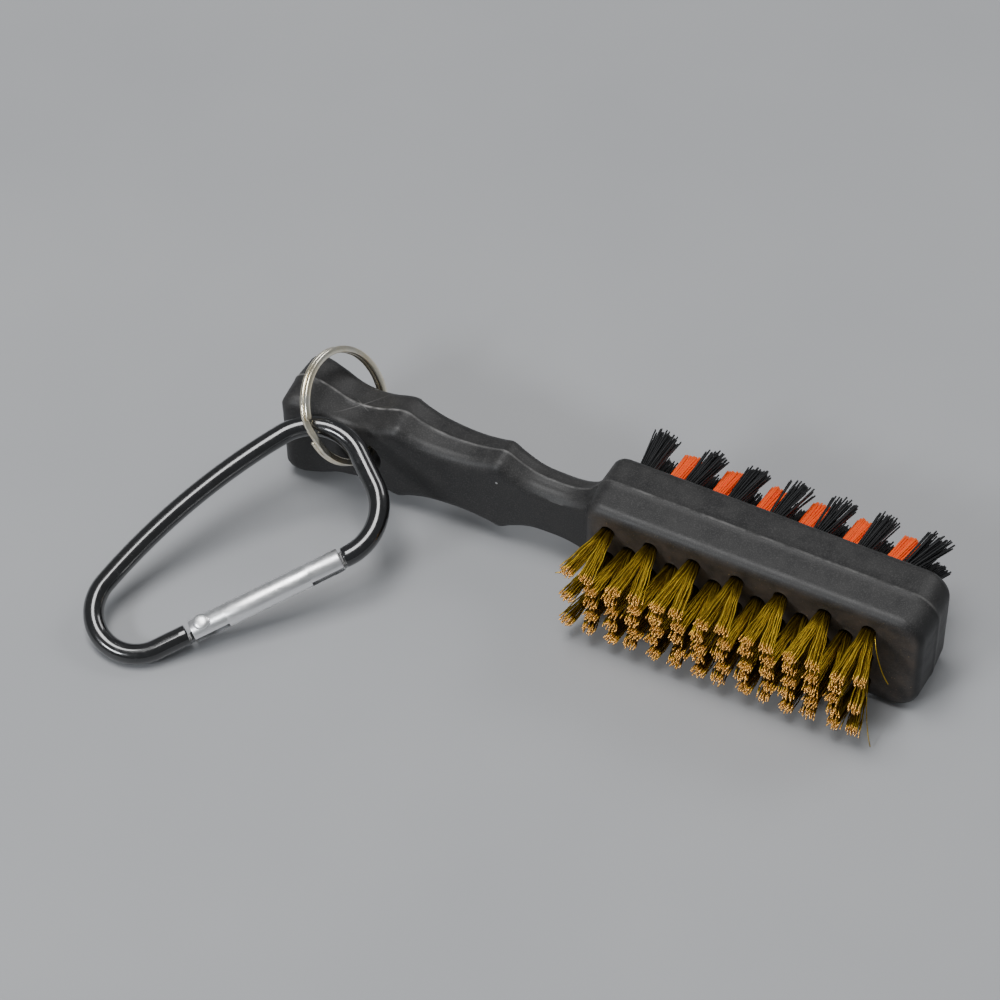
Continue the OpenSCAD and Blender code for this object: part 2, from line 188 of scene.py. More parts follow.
@dataclass
class BrushBody:
    """One-piece moulding: a slab head with tuft holes on both faces, and a waisted handle with a hang hole."""

    head_len: float = 66.4
    head_h: float = 24.6
    head_t: float = 14.5
    corner_r: float = 5.0
    shoulder_r: float = 2.9
    head_edge_r: float = 2.0
    handle_len: float = 63.5
    grip_half_h: float = 10.0
    neck_half_t: float = 3.6
    knob_half_t: float = 7.3
    knob_sag: float = 1.6
    handle_edge_r: float = 2.3
    end_r: float = 3.0
    pitch: float = 4.25
    row_pitch: float = 3.5
    first_tuft: float = 5.0
    hole_r: float = 1.3
    hole_depth: float = 5.4
    hang_r: float = 4.0
    hang_x: float = -80.0
    hang_rim: float = 0.9
    draft: float = 0.3
    ridge: float = 0.07
    columns: int = 13
    rows: int = 5
    cell: int = 12
    neck_from: float = 0.11
    neck_power: float = 1.3
    sag_from: float = 0.68
    sag_over: float = 0.12
    sag_below: float = 4.8
    foot_r: float = 0.9
    hang_cell: float = 7.5
    slope_step: float = 0.05
    grip: list[tuple[float, float]] = field(default_factory=lambda: [
        (0.0, 0.99), (0.03, 0.78), (0.08, 0.65), (0.14, 0.63), (0.205, 0.67), (0.26, 0.82), (0.3, 0.955),
        (0.34, 0.89), (0.395, 0.81), (0.455, 0.78), (0.53, 0.805), (0.585, 0.9), (0.622, 1.0), (0.655, 0.96),
        (0.71, 0.81), (0.77, 0.725), (0.82, 0.75), (0.875, 0.89), (0.93, 0.99), (1.0, 0.99)])

    def __post_init__(self) -> None:
        """Works out the sheets' outline, which stands inside the parting line by the draft and the ridge."""
        self.inset = self.draft + self.ridge
        self.left, self.right = -self.head_len / 2, self.head_len / 2 - self.inset
        self.top = self.head_h / 2 - self.inset
        self.end = self.left - self.handle_len + self.inset

    def share(self, x: Array) -> Array:
        """Share of the way along the handle, from 0 at the head to 1 at its end."""
        return np.clip((self.left - x) / self.handle_len, 0, 1)

    def half_height(self, x: Array) -> Array:
        """Half height of the outline at x: the larger of the handle's curve and the head's rounded rectangle."""
        handle = self.grip_half_h * hermite(self.grip, self.share(x))
        end = np.clip(self.end_r - (x - self.end), 0, self.end_r)
        handle = handle - self.end_r + np.sqrt(self.end_r ** 2 - end ** 2) - self.inset
        a = np.clip(self.shoulder_r - (x - self.left), 0, self.shoulder_r)
        b = np.clip(self.corner_r - (self.right - x), 0, self.corner_r)
        head = (self.top - self.shoulder_r + np.sqrt(self.shoulder_r ** 2 - a ** 2)
                - self.corner_r + np.sqrt(self.corner_r ** 2 - b ** 2))
        near = np.where(x < self.left + self.shoulder_r, handle, 0)
        return np.where(x >= self.left - 1e-9, np.maximum(head, near), handle)

    def half_thickness(self, x: Array, z: Array) -> Array:
        """Half thickness at a point of the outline.

        The head is a slab filleted along its distance to the outline. The handle's slab tapers towards the head,
        and a small quarter-round fills the foot of the shoulder.
        """
        middle, half = (self.left + self.right) / 2, (self.right - self.left) / 2
        r = np.where(x > middle, self.corner_r, self.shoulder_r)
        qx, qz = np.abs(x - middle) - (half - r), np.abs(z) - (self.top - r)
        inside = r - np.hypot(np.maximum(qx, 0), np.maximum(qz, 0)) - np.minimum(np.maximum(qx, qz), 0)
        head = fillet(inside, self.head_t / 2, self.head_edge_r)
        s = np.maximum(self.share(x) - self.neck_from, 0) / (1 - self.neck_from)
        full = self.neck_half_t + (self.knob_half_t - self.neck_half_t) * s ** self.neck_power
        d = self.slope_step
        slope = (self.half_height(x + d) - self.half_height(x - d)) / (2 * d)
        edge = (self.half_height(x) - np.abs(z)) / np.sqrt(1 + np.minimum(np.abs(slope), 1.5) ** 2)
        handle = fillet(np.minimum(edge, x - self.end), full, self.handle_edge_r)
        foot = self.foot_r - np.clip(self.left - x, 0, self.foot_r)
        handle = np.maximum(handle, self.neck_half_t + self.foot_r - np.sqrt(self.foot_r ** 2 - foot ** 2)
                            - 3.0 * np.clip(1 - edge / 1.2, 0, 1))
        return np.where(x >= self.left - 1e-9, head, handle)

    def lines(self) -> tuple[Array, Array, int, int]:
        """Grid lines along the length and across it, and where the block of tuft cells starts in each."""
        hang = np.linspace(self.hang_x - self.hang_cell, self.hang_x + self.hang_cell, 31)
        cells_from = self.left + self.first_tuft - self.pitch / 2
        cells_to = cells_from + self.columns * self.pitch
        parts = [self.end + np.array([0, .03, .12, .28, .5, .8, 1.15, 1.55, 2.0, 2.5, 3.0]),
                 np.linspace(self.end + 3.0, hang[0], 9)[1:-1], hang,
                 np.linspace(hang[-1], self.left - 2.0, 66)[1:],
                 self.left - np.array([1.5, 1.1, .8, .55, .35, .2, .1, .04, .004]),
                 self.left + np.array([0, .03, .12, .3, .55, .9, 1.35, 1.9, 2.4]),
                 np.linspace(cells_from, cells_to, self.columns * self.cell + 1),
                 np.linspace(cells_to, self.right - 5.0, 7)[1:],
                 self.right - np.array([4.4, 3.7, 3.0, 2.3, 1.7, 1.2, .8, .45, .2, .06, 0])]
        xs = np.concatenate(parts)
        block = self.rows / 2 * self.row_pitch
        near = np.array([0, .03, .12, .28, .5, .8, 1.2, 1.65, 2.15, 2.7])
        side = (self.top - near) / self.top
        cells = np.linspace(-block, block, self.rows * self.cell + 1) / self.top
        vs = np.concatenate([-side, cells, side[::-1]])
        return xs, vs, int(np.argmin(np.abs(xs - cells_from))), len(near)

    def sheet(self) -> tuple[Array, Array]:
        """The front sheet's points and the mask of quads kept.

        A point stands at half height times v from the axis. Around each tuft the square cell is bent into rings:
        flat outside, a raised lip, a wall and a floor. Around the hang hole the same is done down to mid depth.
        At the end knob the lower side is then drawn down by a smooth step.

        Returns:
            Grid of points as x, half thickness and height, and a grid that is False inside the hang hole.
        """
        xs, vs, i0, j0 = self.lines()
        x, v = np.meshgrid(xs, vs, indexing="ij")
        z = v * self.half_height(x)
        y = self.half_thickness(x, z)
        n = self.cell
        ii, jj = np.meshgrid(np.arange(len(xs)) - i0, np.arange(len(vs)) - j0, indexing="ij")
        cx, cz = np.clip(ii // n, 0, self.columns - 1), np.clip(jj // n, 0, self.rows - 1)
        s, t = (ii - cx * n) / n * 2 - 1, (jj - cz * n) / n * 2 - 1
        ring = np.maximum(np.abs(s), np.abs(t))
        block = (ii >= 0) & (ii <= self.columns * n) & (jj >= 0) & (jj <= self.rows * n)
        tuft = block & (ring < 0.999) & ((cx + cz) % 2 == 0)
        centre_x = self.left + self.first_tuft + self.pitch * cx
        centre_z = self.row_pitch * (cz - self.rows // 2)
        knots = np.arange(7) / 6
        r, deep = self.hole_r, self.hole_depth
        radius = np.interp(ring, knots, [0, 0.7, r - .08, r - .02, r + .1, r + .36, 2.0])
        lift = np.interp(ring, knots, [-deep, -deep, -deep + .1, -.4, .03, .05, 0])
        x, y, z = self.bend(tuft, s, t, ring, radius, 5 / 6, centre_x, centre_z, x, y + np.where(tuft, lift, 0), z)
        s, t = (xs[:, None] - self.hang_x) / self.hang_cell + 0 * v, v * self.top / (self.rows / 2 * self.row_pitch)
        ring = np.maximum(np.abs(s), np.abs(t))
        hang = ring < 0.999
        knots = np.array([0, 8, 9, 9.5, 10, 10.5, 11, 15]) / 15
        full = self.half_thickness(np.full_like(x, self.hang_x), np.zeros_like(x))[0, 0]
        rim, r = self.hang_rim, self.hang_r
        radius = np.interp(ring, knots, r + np.array([0, 0, 0, .08 * rim, .3 * rim, .6 * rim, rim, 2.6]))
        wall = np.interp(ring, knots, [0, 0, *(full - rim * np.array([1, .6, .29, .08, 0, 0]))])
        blend = np.clip((ring - 10.5 / 15) / (0.5 / 15), 0, 1)
        x2, y2, z2 = self.bend(hang, s, t, ring, radius, 11 / 15, self.hang_x, 0.0, x, y, z)
        slab = self.half_thickness(x2, z2)
        y2 = np.where(hang, np.where(ring < 11 / 15, wall * (1 - blend) + slab * blend, slab), y)
        s = np.clip((self.share(x2) - self.sag_from) / self.sag_over, 0, 1)
        low = np.clip((-z2 - self.sag_below) / (self.half_height(x2) - self.sag_below), 0, 1)
        z2 = z2 - self.knob_sag * s * s * (3 - 2 * s) * low
        inner = ring < 8 / 15 - 1e-6
        drop = inner[:-1, :-1] | inner[1:, :-1] | inner[:-1, 1:] | inner[1:, 1:]
        return np.stack([x2, y2, z2], -1), ~drop

    @staticmethod
    def bend(where: Array, s: Array, t: Array, ring: Array, radius: Array, circle_to: float,
             cx: Array | float, cz: Array | float, x: Array, y: Array, z: Array
             ) -> tuple[Array, ...]:
        """Turns square rings into circles: equal angles along each side, blended back to the square outside."""
        wide = np.abs(s) >= np.abs(t)
        safe = np.where(ring < 1e-9, 1, ring)
        angle = np.pi / 4 * np.where(wide, t, s) / safe
        ux = np.where(wide, np.sign(s) * np.cos(angle), np.sin(angle)) * (ring > 1e-9)
        uz = np.where(wide, np.sin(angle), np.sign(t) * np.cos(angle)) * (ring > 1e-9)
        w = np.clip((ring - circle_to) / (1 - circle_to), 0, 1)
        return (np.where(where, (cx + ux * radius) * (1 - w) + x * w, x), y,
                np.where(where, (cz + uz * radius) * (1 - w) + z * w, z))

    def band(self, points: Array) -> Array:
        """The edge strip round the outline: it leans out towards the parting line and has a thin ridge there."""
        loop = np.concatenate([points[:, -1], points[-1, -2::-1], points[-2::-1, 0], points[0, 1:-1]])
        along = np.roll(loop, -1, 0) - np.roll(loop, 1, 0)
        normal = np.stack([-along[:, 2], 0 * along[:, 0], along[:, 0]], -1)
        normal /= np.maximum(np.linalg.norm(normal, axis=1, keepdims=True), 1e-9)
        w = np.array([-1, -.75, -.5, -.28, -.1, -.055, 0, .055, .1, .28, .5, .75, 1])
        out = self.draft * (1 - np.abs(w)) + self.ridge * (np.abs(w) < 0.06)
        base = np.stack([loop[:, 0], 0 * loop[:, 0], loop[:, 2]], -1)
        rows = base[:, None] + normal[:, None] * out[None, :, None]
        rows[..., 1] = loop[:, 1][:, None] * w[None, :]
        return rows

    def make(self) -> Object:
        """Builds the whole moulding from its two sheets and its edge strip."""
        points, keep = self.sheet()
        rows, cols = points.shape[:2]
        flat = points.reshape(-1, 3)
        front, back = flat * [1, -1, 1], flat
        faces = grid_faces(rows, cols)[keep.ravel()]
        strip = self.band(points)
        ring = grid_faces(strip.shape[0] + 1, strip.shape[1])
        closed = np.concatenate([strip, strip[:1]])
        count = len(flat)
        everything = np.concatenate([front, back, closed.reshape(-1, 3)]) + [0, 0, AXIS_Z]
        quads = np.concatenate([faces[:, ::-1], faces + count, ring + 2 * count])
        return build("moulded_brush", everything, quads, weld=True, sharp=48)


# ---- bristles


@dataclass
class TuftRow:
    """One row of bristle tufts: strands spread from each hole, alike in number and varied by a seeded draw."""

    row: int
    side: Side
    count: int
    free: float
    thick: float
    root_r: float
    tip_r: float
    angles: tuple[float, float]
    curl: float
    turns: float
    rings: int
    ragged: float
    first_x: float = -28.2
    pitch: float = 8.5
    row_pitch: float = 3.5
    stem_r: float = 1.26
    face_y: float = 7.25
    sunk: float = 1.6
    wander: float = 1.3

    def centres(self) -> Array:
        """Places of the row's holes along X: seven in odd rows, six between them in even rows."""
        odd = self.row % 2
        return self.first_x + self.pitch * (np.arange(6 + odd) + (0 if odd else 0.5))

    def draw(self) -> dict[str, Array]:
        """Places, directions and lengths of the row's strands.

        Each hole holds two bundles, left and right. A strand starts at an even spot on its bundle's disc, on a
        sunflower spiral, and aims at the same spot on the wider disc at the tip.
        """
        rng = np.random.default_rng(100 * (self.side.value + 2) + self.row)
        xs = self.centres()
        grid = np.meshgrid(np.arange(len(xs)), [0, 1], np.arange(self.count), indexing="ij")
        tuft, lean, k = (a.ravel() for a in grid)
        total = len(tuft)
        spin = rng.uniform(0, 2 * np.pi, (len(xs), 2))[tuft, lean]
        reach = np.sqrt((k + 0.5) / self.count)
        turned = SUNFLOWER * k + spin
        spot = reach[:, None] * np.stack([np.cos(turned), np.sin(turned)], -1)
        base = np.array(self.angles)[lean] + rng.normal(0, self.wander, (len(xs), 2))[tuft, lean]
        base = base + self.edge_lean(tuft, lean, len(xs))
        tilt = rng.normal(0, self.wander, (len(xs), 2))[tuft, lean]
        a, b = np.radians(base), np.radians(tilt)
        aim = np.stack([np.sin(a), np.cos(a) * np.cos(b), np.sin(b)], -1)
        offset = np.where(lean == 0, -1, 1) * (self.stem_r - self.root_r)
        start = spot * self.root_r
        root = np.stack([xs[tuft] + offset + start[:, 0], np.full(total, self.face_y), start[:, 1]], -1)
        spread = (self.tip_r - self.root_r) * rng.normal(1, 0.16, total)
        tip = root + aim * self.free + np.stack([spot[:, 0] * spread, np.zeros(total), spot[:, 1] * spread], -1)
        tip += rng.normal(0, self.ragged, (total, 3)) * [1, 0.7, 1]
        aim = tip - root
        length = np.linalg.norm(aim, axis=1) + rng.normal(0, self.ragged * 0.45, total)
        aim /= np.linalg.norm(aim, axis=1, keepdims=True)
        return {"root": root - aim * self.sunk, "aim": aim, "length": length + self.sunk,
                "tone": rng.uniform(0, 1, total), "phase": rng.uniform(0, 2 * np.pi, total),
                "bow": rng.normal(0, self.ragged * 0.9, total)}

    def edge_lean(self, tuft: Array, lean: Array, count: int) -> Array:
        """Extra lean along the row: it turns from one end to the other, and the end tufts fan outward."""
        along = tuft / (count - 1)
        if self.side is Side.BRASS:
            first = (tuft == 0) & (lean == 0) & (self.row % 2 == 1)
            return -2.5 + 4.5 * along - np.where(first, 1.5, 0.0)
        if self.row % 2 == 0:
            return -2.0 + 4.0 * along
        return -1.5 + 3.0 * along - np.where(tuft == 0, 7.0, 0) + np.where(tuft == count - 1, 9.0, 0)

    def make(self) -> Object:
        """Builds the row as one mesh of square strands.

        The middle of a strand is root + aim * length * t, plus a sine ripple and a bow that grows with t squared.
        """
        d = self.draw()
        t = np.linspace(0, 1, self.rings)
        aim = d["aim"]
        across = np.cross(aim, [0.0, 0.0, 1.0])
        across /= np.linalg.norm(across, axis=1, keepdims=True)
        up = np.cross(aim, across)
        ripple = self.curl * np.sin(2 * np.pi * self.turns * t[None] + d["phase"][:, None])
        swing = self.curl * 0.6 * np.cos(2 * np.pi * self.turns * t[None] + 2 * d["phase"][:, None])
        bow = d["bow"][:, None] * (t ** 2)[None]
        middle = (d["root"][:, None] + aim[:, None] * (d["length"][:, None] * t)[..., None]
                  + across[:, None] * (ripple + bow)[..., None] + up[:, None] * swing[..., None])
        angle = np.radians(45 + 90 * np.arange(4))
        points = middle[:, :, None] + (spokes(across, up, angle) * self.thick / 2)[:, None]
        total, rings = middle.shape[:2]
        points = points * [1, self.side.value, 1]
        z = AXIS_Z + self.row_pitch * (3 - self.row)
        tube = grid_faces(rings, 4, wrap=True)
        shift = (np.arange(total) * rings * 4)[:, None, None]
        body = (tube[None] + shift).reshape(-1, 4)
        caps = np.concatenate([(np.array([[3, 2, 1, 0]])[None] + shift).reshape(-1, 4),
                               ((rings - 1) * 4 + np.array([[0, 1, 2, 3]])[None] + shift).reshape(-1, 4)])
        quads = np.concatenate([body, caps])
        if self.side is Side.BRASS:
            quads = quads[:, ::-1]
        tone = np.repeat(d["tone"], rings * 4)
        along = np.tile(np.repeat(t, 4), total)
        name = ("brass" if self.side is Side.BRASS else "nylon") + f"_strands_row_{self.row}"
        return build(name, points.reshape(-1, 3) + [0, 0, z], quads, values={"tone": tone, "along": along})


def tube(path: Array, radius: Array | float, sides: int) -> Skin:
    """A round tube along a path, closed at both ends.

    Each ring stands square to the path's local direction, with its first spoke carried on from a fixed up.

    Args:
        path: Middle points, one row each.
        radius: Radius at each point, or one for all.
        sides: Points in a ring.

    Returns:
        Points, quads and the end triangles.
    """
    ahead = np.gradient(path, axis=0)
    ahead /= np.linalg.norm(ahead, axis=1, keepdims=True)
    pole = np.array([0.13, 0.21, 0.97])
    u = np.cross(ahead, pole)
    u /= np.linalg.norm(u, axis=1, keepdims=True)
    w = np.cross(ahead, u)
    a = 2 * np.pi * np.arange(sides) / sides
    r = np.broadcast_to(radius, len(path))[:, None, None]
    return close_rings(path[:, None] + r * spokes(u, w, a))


def close_rings(rings: Array) -> Skin:
    """Joins rings into a skin and closes both ends with a fan to the ring's middle point.

    Args:
        rings: Points as ring, place in the ring, coordinate.

    Returns:
        Points, quads and triangles.
    """
    count, sides = rings.shape[:2]
    points = np.concatenate([rings.reshape(-1, 3), rings[0].mean(0)[None], rings[-1].mean(0)[None]])
    k = np.arange(sides)
    n = (k + 1) % sides
    first = np.stack([n, k, np.full(sides, count * sides)], -1)
    last = np.stack([(count - 1) * sides + k, (count - 1) * sides + n, np.full(sides, count * sides + 1)], -1)
    return points, grid_faces(count, sides, wrap=True), np.concatenate([first, last])


def joined(parts: list[Skin]) -> Skin:
    """Puts several closed skins into one set of points, quads and triangles."""
    shift = np.cumsum([0] + [len(p[0]) for p in parts[:-1]])
    return (np.concatenate([p[0] for p in parts]), np.concatenate([p[1] + s for p, s in zip(parts, shift)]),
            np.concatenate([p[2] + s for p, s in zip(parts, shift)]))


@dataclass
class StrayWires:
    """A few loose wires that have sprung out of the brass tufts, each a bent line from its hole."""

    thick: float = 0.2
    lines: tuple[tuple[Triple, ...], ...] = (
        ((23.5, -6.0, 19.5), (25.0, -9.3, 18.9), (27.0, -11.8, 17.0), (29.4, -13.4, 15.0)),
        ((23.4, -6.0, 8.5), (24.7, -10.5, 6.8), (26.6, -14.5, 3.4), (28.6, -17.2, 0.5)),
        ((-29.0, -6.5, 19.5), (-29.8, -12.0, 19.2), (-31.0, -16.5, 18.6), (-32.9, -19.0, 18.2)))

    def make(self) -> Object:
        """Builds each wire as a tube on a cubic through its four points, worked out as Lagrange weights."""
        t = np.linspace(0, 1, 14)
        knots = np.linspace(0, 1, 4)
        weights = np.stack([np.prod([(t - knots[j]) / (knots[i] - knots[j]) for j in range(4) if j != i], axis=0)
                            for i in range(4)], -1)
        skins = [tube(weights @ np.array(line), self.thick / 2, 6) for line in self.lines]
        points, quads, tris = joined(skins)
        ones = np.ones(len(points))
        return build("stray_wires", points, quads, tris, values={"tone": ones * 0.6, "along": ones * 0.8})


# ---- ring and carabiner


@dataclass
class SplitRing:
    """Split ring of flat wire: two coils side by side, joined by one jog, with both wire ends in view."""

    mean_r: float = 10.55
    wire_w: float = 1.3
    wire_t: float = 0.8
    gap: float = 0.12
    sweep: float = 697.0
    start: float = 265.0
    jog_half: float = 14.0
    lean: float = 32.0
    corner: float = 0.26
    centre: Triple = (-84.822, -2.0, 20.017)

    def make(self) -> Object:
        """Sweeps a rounded rectangle round the ring; it steps from coil to coil by half a sine at mid turn."""
        end = self.sweep
        t = np.concatenate([[0, 0.6], np.linspace(1.4, end - 1.4, 260), [end - 0.6, end]])
        a = np.radians(self.start + t)
        k = np.clip((t - self.sweep / 2) / self.jog_half, -1, 1)
        step = (self.wire_t + self.gap) / 2 * np.sin(np.pi / 2 * k)
        c = self.corner
        q = np.radians(np.arange(4)[:, None] * 90 + np.arange(4)[None] * 30)
        middle = np.array([[1, 1], [-1, 1], [-1, -1], [1, -1]]) * [self.wire_w / 2 - c, self.wire_t / 2 - c]
        section = (middle[:, None] + c * np.stack([np.cos(q), np.sin(q)], -1)).reshape(-1, 2)
        shrink = np.interp(t, [0, 0.6, 1.4, end - 1.4, end - 0.6, end], [.7, .92, 1, 1, .92, .7])
        r = self.mean_r + section[None, :, 0] * shrink[:, None]
        rings = np.stack([r * np.cos(a)[:, None], r * np.sin(a)[:, None],
                          step[:, None] + section[None, :, 1] * shrink[:, None]], -1)
        spin = turn((0, 90 - self.lean, 0))
        points, quads, tris = close_rings(rings @ spin.T + np.array(self.centre))
        return build("split_ring_wire", points, quads, tris, sharp=60)


@dataclass
class Carabiner:
    """Pear-shaped clip: a round black rod bent in one plane, and a bright sprung gate pinned at its narrow end."""

    length: float = 61.0
    width: float = 31.0
    rod_d: float = 3.9
    narrow_r: float = 8.4
    wide_r: float = 10.2
    back_r: float = 125.0
    narrow_u: float = -7.2
    gate_len: float = 30.0
    gate_d: float = 4.4
    bore_r: float = 1.5
    slot_w: float = 1.9
    hinge_slot: float = 6.8
    nose_slot: float = 6.5
    tongue_w: float = 1.6
    pivot: tuple[float, float] = (2.3, 0.2)
    rivet_r: float = 1.5
    pin_r: float = 0.65
    dome_h: float = 0.58
    rim: float = 0.12
    gate_edge: float = 0.22
    arc: int = 49
    at: Triple = (-91.0, -50.6, 4.46)
    turned: Triple = (17.4, -13.8, 48.6)

    def place(self, points: Array) -> Array:
        """Carries points from the clip's own plane to where it hangs."""
        return points @ turn(self.turned).T + np.array(self.at)

    def rod_path(self) -> Array:
        """Middle line of the rod: straight stubs at the gate, joined by arcs that meet in line.

        The back's centre lies where circles of back_r less each bend radius about the two bends' centres cross.
        """
        span, tall = self.length - self.rod_d, self.width - self.rod_d
        narrow = np.array([self.narrow_u, self.narrow_r])
        wide_u = self.narrow_u - self.narrow_r + span - self.wide_r
        low, high = np.array([wide_u, self.wide_r]), np.array([wide_u, tall - self.wide_r])
        d0, d1 = self.back_r - self.narrow_r, self.back_r - self.wide_r
        gap = np.linalg.norm(high - narrow)
        e = (high - narrow) / gap
        a = (d0 * d0 - d1 * d1 + gap * gap) / (2 * gap)
        back = narrow + a * e + math.sqrt(d0 * d0 - a * a) * np.array([e[1], -e[0]])
        a0 = math.degrees(math.atan2(high[1] - back[1], high[0] - back[0]))
        a1 = math.degrees(math.atan2(narrow[1] - back[1], narrow[0] - back[0]))
        arcs = [(narrow, self.narrow_r, 270, a1, 40), (back, self.back_r, a1, a0, 30), (high, self.wide_r, a0, 0, 24),
                (low, self.wide_r, 0, -90, 26)]
        lines = []
        for centre, r, start, end, n in arcs:
            an = np.radians(np.linspace(start, end, n))
            lines.append(centre + r * np.stack([np.cos(an), np.sin(an)], -1))
        lines[1:] = [line[1:] for line in lines[1:]]
        stub = np.array([[-0.9, 0], [-1.0, 0], [-1.25, 0], [-2.4, 0], [-5.0, 0]])
        tail_u = self.gate_len + 0.6
        tail = np.array([[tail_u + 0.8, 0], [tail_u + 0.35, 0], [tail_u + 0.1, 0], [tail_u, 0]])
        flat = np.concatenate([stub, *lines, tail])
        return np.concatenate([flat, np.zeros((len(flat), 1))], 1)

    def make_frame(self) -> Object:
        """Builds the bent rod with softened ends, and the two flat tongues that enter the gate's slots."""
        path = self.rod_path()
        ahead = np.gradient(path, axis=0)
        ahead /= np.linalg.norm(ahead, axis=1, keepdims=True)
        side = np.stack([ahead[:, 1], -ahead[:, 0], 0 * ahead[:, 0]], -1)
        r = np.full(len(path), self.rod_d / 2)
        r[[0, -1]] -= 0.3
        r[[1, -2]] -= 0.08
        a = 2 * np.pi * np.arange(32) / 32
        rings = path[:, None] + r[:, None, None] * spokes(side, np.array([[0, 0, -1.0]]), a)
        hinge = [(-1.4, -1.85), (3.9, -0.9), (3.9, 1.1), (1.95, 1.1), (-1.4, -0.72)]
        nose = [(23.9, -1.75), (30.9, -1.75), (30.9, 1.1), (23.9, 1.1)]
        parts = [close_rings(rings)] + [self.plate(np.array(p), self.tongue_w / 2) for p in (hinge, nose)]
        points, quads, tris = joined(parts)
        return build("carabiner_rod", self.place(points), quads, tris, sharp=40, weld=True)

    @staticmethod
    def plate(outline: Array, half: float) -> Skin:
        """A flat plate with a small chamfer: four copies of its outline, the outer two drawn towards its middle."""
        middle = outline.mean(0)
        inner = middle + (outline - middle) * 0.93
        levels = [(inner, -half), (outline, -half + 0.12), (outline, half - 0.12), (inner, half)]
        return close_rings(np.stack([np.concatenate([o, np.full((len(o), 1), w)], 1) for o, w in levels]))

    def make_gate(self) -> Object:
        """Builds the hollow gate as one swept profile.

        The profile is an outer arc and an inner arc back. Its opening is the slot's width near both ends, and it
        closes to nothing in between.
        """
        ro, ri, half = self.gate_d / 2, self.bore_r, self.slot_w / 2
        length, c, n = self.gate_len, self.gate_edge, self.arc
        a, b = self.hinge_slot, length - self.nose_slot
        stations = [(0, c, 1), (c * .3, c * .3, 1), (c, 0, 1), (a - .01, 0, 1), (a, 0, 0), (12.0, 0, 0), (18.0, 0, 0),
                    (b, 0, 0), (b + .01, 0, 1), (length - c, 0, 1), (length - c * .3, c * .3, 1), (length, c, 1)]
        k = np.linspace(0, 1, n)
        rings = []
        for u, shy, slotted in stations:
            go, gi = (math.asin(half / r) * slotted for r in (ro, ri))
            outer = np.pi + go + k * (2 * np.pi - 2 * go)
            inner = (np.pi + gi + k * (2 * np.pi - 2 * gi))[::-1]
            r = np.repeat([ro - shy, ri], n)
            an = np.concatenate([outer, inner])
            rings.append(np.stack([np.full(2 * n, u), r * np.cos(an), r * np.sin(an)], -1))
        m = np.arange(n - 1)
        ends = [np.stack([o + m, o + m + 1, o + 2 * n - 2 - m, o + 2 * n - 1 - m], -1)
                for o in (0, (len(rings) - 1) * 2 * n)]
        quads = np.concatenate([grid_faces(len(rings), 2 * n, wrap=True), ends[0], ends[1][:, ::-1]])
        return build("gate_sleeve", self.place(np.concatenate(rings)), quads, sharp=40, weld=True)

    def make_rivet(self) -> Object:
        """Builds the pin with a domed head on each side: a lathe profile turned round the pivot's axis."""
        seat = self.gate_d / 2 + 0.06
        foot = seat + self.rim
        q = np.radians(np.linspace(0, 90, 9)[:-1])[:, None]
        dome = np.concatenate([self.rivet_r * np.cos(q), foot + self.dome_h * np.sin(q)], 1)
        half = np.concatenate([[(self.pin_r, 0.0), (self.pin_r, seat - .01), (self.rivet_r - self.rim, seat)],
                               dome, [(0.02, foot + self.dome_h)]])
        profile = np.concatenate([half[::-1] * [1, -1], half[1:]])
        a = 2 * np.pi * np.arange(36) / 36
        rings = np.stack([self.pivot[0] + profile[:, :1] * np.cos(a), self.pivot[1] + profile[:, :1] * np.sin(a),
                          profile[:, 1:] + 0 * a], -1)
        points, quads, tris = close_rings(rings)
        return build("gate_rivet_domed", self.place(points), quads, tris, sharp=50, weld=True)


# ---- materials


